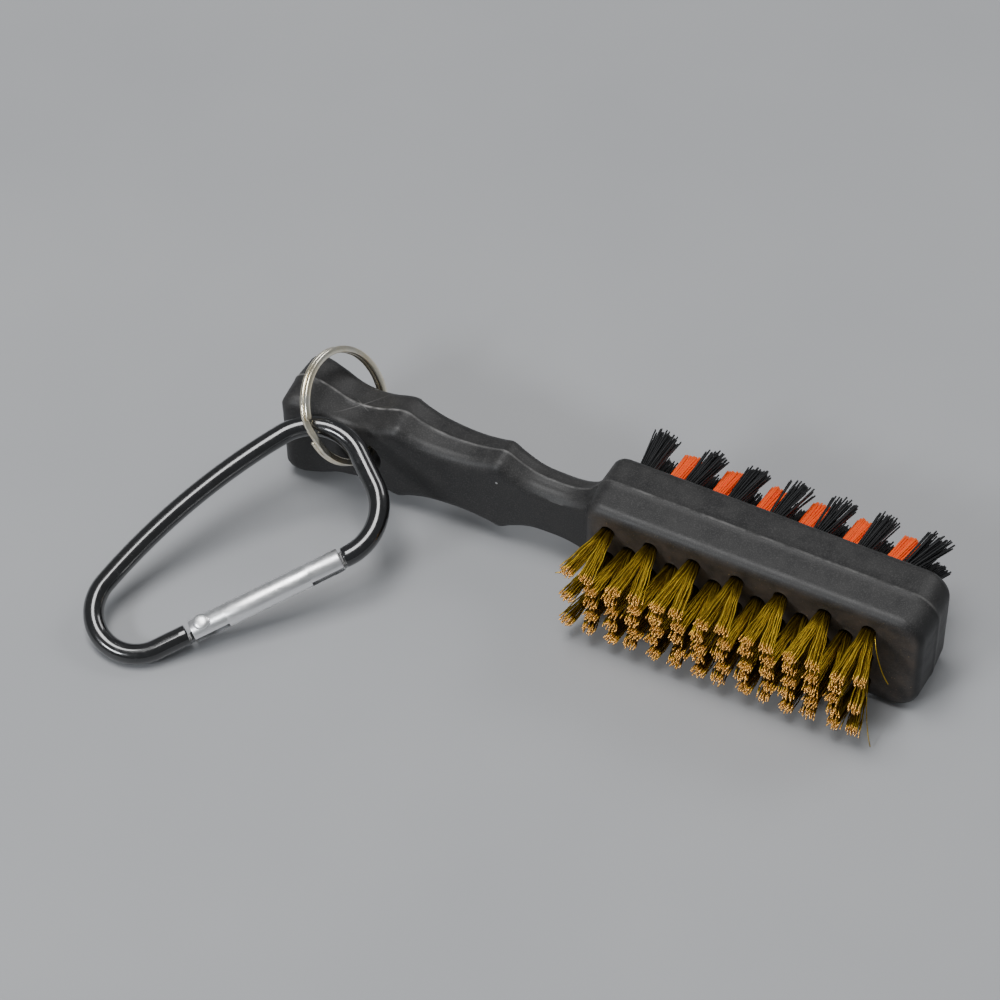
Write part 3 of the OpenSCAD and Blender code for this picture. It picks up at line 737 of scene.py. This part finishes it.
class Shader:
    """A node tree with short ways to add and join nodes, for a material or for a shared group."""

    def __init__(self, tree: NodeTree) -> None:
        """Starts on an empty tree."""
        self.tree = tree

    def add(self, kind: str, inputs: dict[str | int, object] | None = None, **settings: object) -> Node:
        """Adds a node.

        Args:
            kind: Node type name without its ShaderNode prefix.
            inputs: Values or sockets by input name or number.
            settings: Properties of the node.

        Returns:
            The new node.
        """
        node = self.tree.nodes.new(kind if kind.startswith("Node") else "ShaderNode" + kind)
        for key, value in settings.items():
            setattr(node, key, value)
        for key, value in (inputs or {}).items():
            if isinstance(value, NodeSocket):
                self.tree.links.new(value, node.inputs[key])
            else:
                node.inputs[key].default_value = value
        return node

    def coords(self) -> NodeSocket:
        """Object coordinates, which stay with the piece."""
        return self.add("TexCoord").outputs["Object"]

    def noise(self, at: NodeSocket, scale: float | NodeSocket, detail: float = 2.0,
              rough: float = 0.5) -> NodeSocket:
        """Fractal noise from 0 to 1."""
        return self.add("TexNoise", {"Vector": at, "Scale": scale, "Detail": detail, "Roughness": rough}).outputs[0]

    def fit(self, value: NodeSocket, a: float, b: float, c: float = 0.0,
            d: float = 1.0) -> NodeSocket:
        """Carries value from the range a to b onto c to d, held at both ends."""
        return self.add("MapRange", {0: value, 1: a, 2: b, 3: c, 4: d}, clamp=True).outputs[0]

    def calc(self, how: str, a: object, b: object = 0.0) -> NodeSocket:
        """One step of arithmetic on two values."""
        return self.add("Math", {0: a, 1: b}, operation=how).outputs[0]

    def times(self, *factors: object) -> NodeSocket:
        """Product of two or more values."""
        return reduce(lambda a, b: self.calc("MULTIPLY", a, b), factors)

    def blend(self, amount: object, a: object, b: object) -> NodeSocket:
        """Mixes two colours by amount."""
        return self.add("Mix", {0: amount, 6: a, 7: b}, data_type="RGBA").outputs[2]

    def effect(self, tree: NodeTree, inputs: dict[str, object]) -> Node:
        """Places a shared group with its own values."""
        return self.add("Group", inputs, node_tree=tree)

    def link(self, value: NodeSocket, to: NodeSocket) -> None:
        """Joins an output to an input."""
        self.tree.links.new(value, to)

    def bump(self, surface: Node, height: NodeSocket, strength: float, distance: float) -> None:
        """Tilts a surface's shading by a height."""
        node = self.add("Bump", {"Strength": strength, "Distance": distance, "Height": height})
        self.link(node.outputs[0], surface.inputs["Normal"])

    def attribute(self, name: str) -> NodeSocket:
        """Reads a piece's own attribute."""
        return self.add("Attribute", attribute_name=name).outputs["Fac"]


def group(name: str, inputs: dict[str, tuple[str, object]], outputs: dict[str, str]) -> tuple[Shader, dict, dict]:
    """Starts a shared node group.

    Args:
        name: Name of the group.
        inputs: Socket type and default by input name.
        outputs: Socket type by output name.

    Returns:
        The tree's Shader, its input sockets to read and its output sockets to feed.
    """
    tree = bpy.data.node_groups.new(name, "ShaderNodeTree")
    for key, (kind, value) in inputs.items():
        socket = tree.interface.new_socket(key, in_out="INPUT", socket_type="NodeSocket" + kind)
        if value is not None:
            socket.default_value = value
    for key, kind in outputs.items():
        tree.interface.new_socket(key, in_out="OUTPUT", socket_type="NodeSocket" + kind)
    g = Shader(tree)
    return g, dict(g.add("NodeGroupInput").outputs.items()), dict(g.add("NodeGroupOutput").inputs.items())


class Effects:
    """The node groups that several finishes share: grain, dust specks and fine scratches."""

    def __init__(self) -> None:
        """Builds each group once."""
        self.grain = self.make_grain()
        self.specks = self.make_specks()
        self.scratches = self.make_scratches()

    @staticmethod
    def make_grain() -> NodeTree:
        """Moulded or cast grain: fine noise on a slow one, as a height and a mottle from 0 to 1."""
        g, i, o = group("grain", {"Vector": ("Vector", None), "Scale": ("Float", 1500.0)},
                        {"Height": "Float", "Mottle": "Float"})
        fine = g.noise(i["Vector"], i["Scale"], 3.0, 0.6)
        slow = g.noise(i["Vector"], g.times(i["Scale"], 0.12), 3.0, 0.55)
        g.link(g.calc("ADD", fine, g.times(slow, 0.6)), o["Height"])
        g.link(g.fit(slow, 0.3, 0.7), o["Mottle"])
        return g.tree

    @staticmethod
    def make_specks() -> NodeTree:
        """Dust: small round specks in some cells of a random cell pattern, as a mask."""
        g, i, o = group("specks", {"Vector": ("Vector", None), "Scale": ("Float", 300.0), "Size": ("Float", 0.12),
                                   "Share": ("Float", 0.3)}, {"Mask": "Float"})
        cells = g.add("TexVoronoi", {"Vector": i["Vector"], "Scale": i["Scale"]})
        pick = g.add("SeparateColor", {0: cells.outputs["Color"]})
        chosen = g.calc("LESS_THAN", pick.outputs[0], i["Share"])
        size = g.times(i["Size"], g.calc("ADD", pick.outputs[1], 0.3))
        dot = g.calc("LESS_THAN", cells.outputs["Distance"], size)
        g.link(g.times(chosen, dot), o["Mask"])
        return g.tree

    @staticmethod
    def make_scratches() -> NodeTree:
        """Fine scratches: noise drawn out along one way, as a height and a mask."""
        g, i, o = group("scratches", {"Vector": ("Vector", None), "Stretch": ("Vector", (1.0, 1.0, 1.0)),
                                      "Scale": ("Float", 900.0)}, {"Height": "Float", "Mask": "Float"})
        drawn = g.add("VectorMath", {0: i["Vector"], 1: i["Stretch"]}, operation="MULTIPLY").outputs[0]
        lines = g.noise(drawn, i["Scale"], 4.0, 0.65)
        g.link(lines, o["Height"])
        g.link(g.fit(lines, 0.58, 0.68), o["Mask"])
        return g.tree


@dataclass(frozen=True)
class Finish:
    """A finish: its name and the settings that are the same all over the surface."""

    name: str
    rough: float = 0.5
    metal: float = 0.0
    specular: float = 0.5
    coat: float = 0.0

    def start(self) -> tuple[Material, Shader, Node]:
        """Makes the material with its shader, and returns it with its tree and shader node."""
        material = bpy.data.materials.new(self.name)
        material.use_nodes = True
        material.node_tree.nodes.clear()
        s = Shader(material.node_tree)
        surface = s.add("BsdfPrincipled", {"Roughness": self.rough, "Metallic": self.metal, "Coat Weight": self.coat,
                                           "Specular IOR Level": self.specular, "Coat Roughness": 0.05})
        s.add("OutputMaterial", {"Surface": surface.outputs[0]})
        return material, s, surface


@dataclass(frozen=True)
class MouldedPlastic(Finish):
    """Charcoal plastic with a fine grain, a scuffed parting line, dust, brass dust about the tufts, and painted shade
    in the tuft holes.
    """

    scuff_x: float = 0.0822
    marks: tuple[Triple, ...] = ((0.6, 0.0, 0.002), (-1.1, 0.0003, 0.0045))

    def make(self, fx: Effects) -> Material:
        """Builds the material."""
        m, s, surface = self.start()
        at = s.coords()
        x, y, z = s.add("SeparateXYZ", {0: at}).outputs
        depth = s.calc("ABSOLUTE", y)
        grain = s.effect(fx.grain, {"Vector": at, "Scale": 2600.0})
        base = s.blend(grain.outputs["Mottle"], (0.0125, 0.0122, 0.0125, 1), (0.024, 0.0232, 0.0228, 1))
        fine = s.fit(s.noise(at, 4200.0, 2.0, 0.6), 0.5, 0.68)
        base = s.blend(s.times(fine, 0.5), base, (0.07, 0.068, 0.066, 1))
        zone = s.times(s.fit(x, -0.0335, -0.031), s.fit(z, 0.0015, 0.004), s.fit(z, 0.0238, 0.0215))
        front = s.times(zone, s.fit(y, -0.0062, -0.0071))
        cloud = s.fit(s.noise(at, 320.0, 4.0, 0.6), 0.25, 0.7)
        base = s.blend(s.times(front, cloud, 0.7), base, (0.088, 0.066, 0.050, 1))
        dots = s.effect(fx.specks, {"Vector": at, "Scale": 1900.0, "Size": 0.22, "Share": 0.16})
        base = s.blend(s.times(front, dots.outputs["Mask"], 0.8), base, (0.30, 0.21, 0.10, 1))
        base = s.blend(self.scuffs(s, at, x, y, depth), base, (0.36, 0.35, 0.34, 1))
        dust = s.effect(fx.specks, {"Vector": at, "Scale": 190.0, "Size": 0.09, "Share": 0.16})
        base = s.blend(s.times(dust.outputs["Mask"], 0.7), base, (0.5, 0.5, 0.5, 1))
        # Painted shade: the walls and floors of the tuft holes are darkened to near black.
        hollow = s.times(zone, s.calc("SUBTRACT", 1.0, s.fit(depth, 0.0066, 0.0071)))
        base = s.blend(s.times(hollow, 0.8), base, (0.006, 0.006, 0.006, 1))
        s.link(base, surface.inputs["Base Color"])
        rough = s.fit(grain.outputs["Mottle"], 0, 1, self.rough - 0.05, self.rough + 0.06)
        s.link(rough, surface.inputs["Roughness"])
        s.bump(surface, grain.outputs["Height"], 0.35, 0.00006)
        return m

    def scuffs(self, s: Shader, at: NodeSocket, x: NodeSocket, y: NodeSocket,
               depth: NodeSocket) -> NodeSocket:
        """Mask of the worn parting line, most worn at the knob, and of the marks that cross it there."""
        worn = s.fit(s.noise(at, 170.0, 5.0, 0.7), 0.42, 0.62)
        knob = s.times(s.fit(x, -0.0700, -0.0760), s.fit(s.noise(at, 420.0, 3.0, 0.6), 0.35, 0.6))
        most = s.calc("MAXIMUM", s.calc("ADD", s.times(worn, 0.22), 0.03), s.times(knob, 0.55))
        mask = s.times(s.fit(depth, 0.00032, 0.00012), most)
        along = s.calc("ADD", x, self.scuff_x)
        for slope, offset, reach in self.marks:
            line = s.calc("ADD", s.times(along, slope), s.calc("SUBTRACT", y, offset))
            mark = s.times(s.fit(s.calc("ABSOLUTE", line), 0.00013, 0.00003),
                           s.fit(s.calc("ABSOLUTE", along), reach, 0.0))
            mask = s.calc("MAXIMUM", mask, s.times(mark, 0.35))
        return mask


@dataclass(frozen=True)
class Strand(Finish):
    """Bristle wire or filament: each strand has its own tone, its cut end a lighter one, and painted shade darkens it
    towards its root.
    """

    dark: Triple = (0.3, 0.2, 0.03)
    light: Triple = (0.7, 0.5, 0.1)
    tip: Triple = (0.9, 0.7, 0.4)
    tip_from: float = 0.93
    root_shade: float = 0.5

    def make(self, fx: Effects) -> Material:
        """Builds the material."""
        m, s, surface = self.start()
        at = s.coords()
        tone, along = s.attribute("tone"), s.attribute("along")
        base = s.blend(tone, (*self.dark, 1), (*self.light, 1))
        patch = s.fit(s.noise(at, 2300.0, 3.0, 0.6), 0.42, 0.6)
        base = s.blend(s.times(patch, 0.55), base, (*self.dark, 1))
        # Painted shade: each strand is darkened towards its root, where the tufts crowd together.
        root = s.fit(along, 0.45, 0.1, 0, self.root_shade)
        base = s.blend(root, base, (*(c * 0.12 for c in self.dark), 1))
        base = s.blend(s.fit(along, self.tip_from, 0.995), base, (*self.tip, 1))
        s.link(base, surface.inputs["Base Color"])
        s.link(s.fit(tone, 0, 1, self.rough - 0.07, self.rough + 0.1), surface.inputs["Roughness"])
        grain = s.effect(fx.grain, {"Vector": at, "Scale": 5200.0})
        s.bump(surface, grain.outputs["Height"], 0.3, 0.00003)
        return m


@dataclass(frozen=True)
class Metal(Finish):
    """Bare or coated metal: two close tones in clouds, fine drawn scratches and a little dulling."""

    first: Triple = (0.7, 0.7, 0.7)
    second: Triple = (0.6, 0.6, 0.6)
    scratch: Triple = (0.8, 0.8, 0.8)
    scratch_amount: float = 0.2
    stretch: Triple = (1.0, 1.0, 1.0)
    scale: float = 900.0
    bump: float = 0.15

    def make(self, fx: Effects) -> Material:
        """Builds the material."""
        m, s, surface = self.start()
        at = s.coords()
        lines = s.effect(fx.scratches, {"Vector": at, "Stretch": self.stretch, "Scale": self.scale})
        cloud = s.fit(s.noise(at, 260.0, 3.0, 0.55), 0.35, 0.65)
        base = s.blend(cloud, (*self.first, 1), (*self.second, 1))
        base = s.blend(s.times(lines.outputs["Mask"], self.scratch_amount), base, (*self.scratch, 1))
        s.link(base, surface.inputs["Base Color"])
        smear = s.fit(lines.outputs["Height"], 0.35, 0.7, self.rough - 0.05, self.rough + 0.08)
        s.link(smear, surface.inputs["Roughness"])
        s.bump(surface, lines.outputs["Height"], self.bump, 0.00003)
        return m


class Finishes:
    """Every finish on the object, made once."""

    def __init__(self, fx: Effects) -> None:
        """Builds the materials from their settings."""
        self.plastic = MouldedPlastic("charcoal_moulding", rough=0.5, specular=0.42).make(fx)
        self.brass = Strand("brass_wire", rough=0.3, metal=0.95, dark=(0.27, 0.165, 0.012),
                            light=(0.84, 0.58, 0.05), tip=(0.90, 0.46, 0.12), tip_from=0.94, root_shade=0.9).make(fx)
        self.black = Strand("black_nylon", rough=0.5, specular=0.4, dark=(0.006, 0.006, 0.007),
                            light=(0.016, 0.017, 0.018), tip=(0.035, 0.035, 0.036), tip_from=0.96,
                            root_shade=0.4).make(fx)
        self.orange = Strand("orange_nylon", rough=0.5, specular=0.3, dark=(0.95, 0.085, 0.006),
                             light=(1.0, 0.125, 0.010), tip=(1.0, 0.17, 0.03), tip_from=0.95,
                             root_shade=0.25).make(fx)
        self.nickel = Metal("nickel_plate", rough=0.2, metal=1.0, first=(1.0, 0.96, 0.84), second=(1.0, 0.90, 0.68),
                            scratch=(0.55, 0.46, 0.30), scratch_amount=0.3, scale=700.0).make(fx)
        self.black_metal = Metal("black_anodised", rough=0.2, specular=0.6, coat=1.0, first=(0.004, 0.004, 0.004),
                                 second=(0.007, 0.007, 0.008), scratch=(0.05, 0.05, 0.05), scratch_amount=0.12,
                                 bump=0.05).make(fx)
        self.bright = Metal("bright_aluminium", rough=0.36, metal=1.0, first=(1.0, 1.0, 1.0),
                            second=(0.96, 0.96, 0.97), scratch=(0.75, 0.75, 0.75), stretch=(0.35, 0.35, 1.0),
                            scale=1500.0).make(fx)
        self.steel = Metal("spring_steel", rough=0.3, metal=1.0, first=(0.55, 0.55, 0.57),
                           second=(0.42, 0.42, 0.44)).make(fx)
        self.anchor = Metal("anchor_brass", rough=0.4, metal=1.0, first=(0.6, 0.45, 0.15),
                            second=(0.45, 0.33, 0.1)).make(fx)


# ---- studio


@dataclass
class Studio:
    """Plain pale floor, soft lights and the camera."""

    aim: Triple = (-47.48, -11.91, 23.2)
    azimuth: float = 28.185
    elevation: float = 50.5
    roll: float = -1.652
    distance: float = 630.85
    lens: float = 126.0

    def camera(self) -> None:
        """Stands the camera at its angle and distance from the point it looks at, rolled a little."""
        a, e, r = (math.radians(v) for v in (self.azimuth, self.elevation, self.roll))
        back = Vector((math.sin(a) * math.cos(e), -math.cos(a) * math.cos(e), math.sin(e)))
        right0 = Vector((math.cos(a), math.sin(a), 0))
        up0 = back.cross(right0)
        right = right0 * math.cos(r) + up0 * math.sin(r)
        up = back.cross(right)
        data = bpy.data.cameras.new("camera")
        data.lens, data.sensor_width = self.lens, 36.0
        data.clip_start, data.clip_end = 0.01, 20
        camera = bpy.data.objects.new("camera", data)
        place = Matrix.Translation((Vector(self.aim) + back * self.distance) * MM)
        camera.matrix_world = place @ Matrix((right, up, back)).transposed().to_4x4()
        bpy.context.scene.collection.objects.link(camera)
        bpy.context.scene.camera = camera

    def floor(self) -> None:
        """Lays a wide plain floor just under the object, with a faint unevenness in its tone."""
        n = np.linspace(-3000, 3000, 3)
        x, y = np.meshgrid(n, n, indexing="ij")
        piece = build("floor", np.stack([x, y, 0 * x - 0.02], -1).reshape(-1, 3), grid_faces(3, 3))
        m, s, surface = Finish("floor_grey", rough=0.55, specular=0.35).start()
        soft = s.fit(s.noise(s.coords(), 14.0, 3.0, 0.5), 0.3, 0.7)
        s.link(s.blend(soft, (0.335, 0.34, 0.352, 1), (0.36, 0.364, 0.373, 1)), surface.inputs["Base Color"])
        piece.data.materials.append(m)

    def light(self, name: str, place: Triple, size: tuple[float, float], watts: float,
              colour: Triple = (1, 1, 1)) -> None:
        """Adds a rectangular soft light that faces the object."""
        data = bpy.data.lights.new(name, "AREA")
        data.shape, data.size, data.size_y, data.energy, data.color = "RECTANGLE", *size, watts, colour
        lamp = bpy.data.objects.new(name, data)
        lamp.location = place
        aim = Vector(self.aim) * MM
        lamp.rotation_mode = "QUATERNION"
        lamp.rotation_quaternion = (Vector(place) - aim).to_track_quat("Z", "Y")
        bpy.context.scene.collection.objects.link(lamp)

    def lights(self) -> None:
        """Hangs the key light, the rear and front lights and a thin streak, over a dim even sky."""
        world = bpy.data.worlds.new("sky")
        bpy.context.scene.world = world
        world.use_nodes = True
        sky = world.node_tree.nodes["Background"].inputs
        sky[0].default_value, sky[1].default_value = (0.92, 0.96, 1.0, 1), 0.22
        self.light("key", (-0.17, -0.11, 1.10), (0.62, 0.45), 10.5)
        self.light("rear", (0.40, 0.80, 0.80), (0.5, 0.4), 3.2)
        self.light("front", (-0.42, -0.85, 0.60), (0.34, 0.16), 5.5, (0.94, 0.97, 1.0))
        self.light("streak", (-0.42, 0.62, 0.98), (0.10, 0.012), 0.08)


def main() -> None:
    """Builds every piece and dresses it."""
    logging.basicConfig(level=logging.INFO, format="%(message)s")
    studio = Studio()
    studio.camera()
    studio.floor()
    studio.lights()
    finish = Finishes(Effects())
    dress(BrushBody().make(), finish.plastic, "brush", "moulded_plastic", "brush_body")
    for row in range(1, 6):
        wires = TuftRow(row, Side.BRASS, count=25, free=12.1, thick=0.285, root_r=0.8, tip_r=1.42, angles=(-5.0, 9.0),
                        curl=0.085, turns=2.75, rings=11, ragged=0.10)
        dress(wires.make(), finish.brass, "brush", "brass_wire", f"brass_tufts_row_{row}")
        odd = row % 2 == 1
        nylon = TuftRow(row, Side.NYLON, count=24, free=10.6, thick=0.33 if odd else 0.46, root_r=0.95,
                        tip_r=1.6 if odd else 1.15, angles=(6.0, 14.0) if odd else (8.5, 11.5), curl=0.02,
                        turns=0.8, rings=7, ragged=0.20 if odd else 0.06)
        dress(nylon.make(), finish.black if odd else finish.orange, "brush", "black_nylon" if odd else "orange_nylon",
              f"nylon_tufts_row_{row}")
    dress(StrayWires().make(), finish.brass, "brush", "brass_wire")
    dress(SplitRing().make(), finish.nickel, "ring", "nickel_wire", "split_ring")
    clip = Carabiner()
    dress(clip.make_frame(), finish.black_metal, "carabiner", "black_anodised", "carabiner_frame")
    dress(clip.make_gate(), finish.bright, "gate", "bright_aluminium", "gate_tube")
    dress(clip.make_rivet(), finish.bright, "carabiner", "bright_aluminium", "gate_rivet")
    for node, material in (("brass_anchors", finish.anchor), ("nylon_anchors", finish.anchor),
                           ("gate_plunger", finish.steel), ("gate_spring", finish.steel)):
        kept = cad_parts[node]
        kept.data.materials.clear()
        kept.data.materials.append(material)
        LOG.info("%s: CAD node kept", node)


if __name__ == "__main__":
    main()
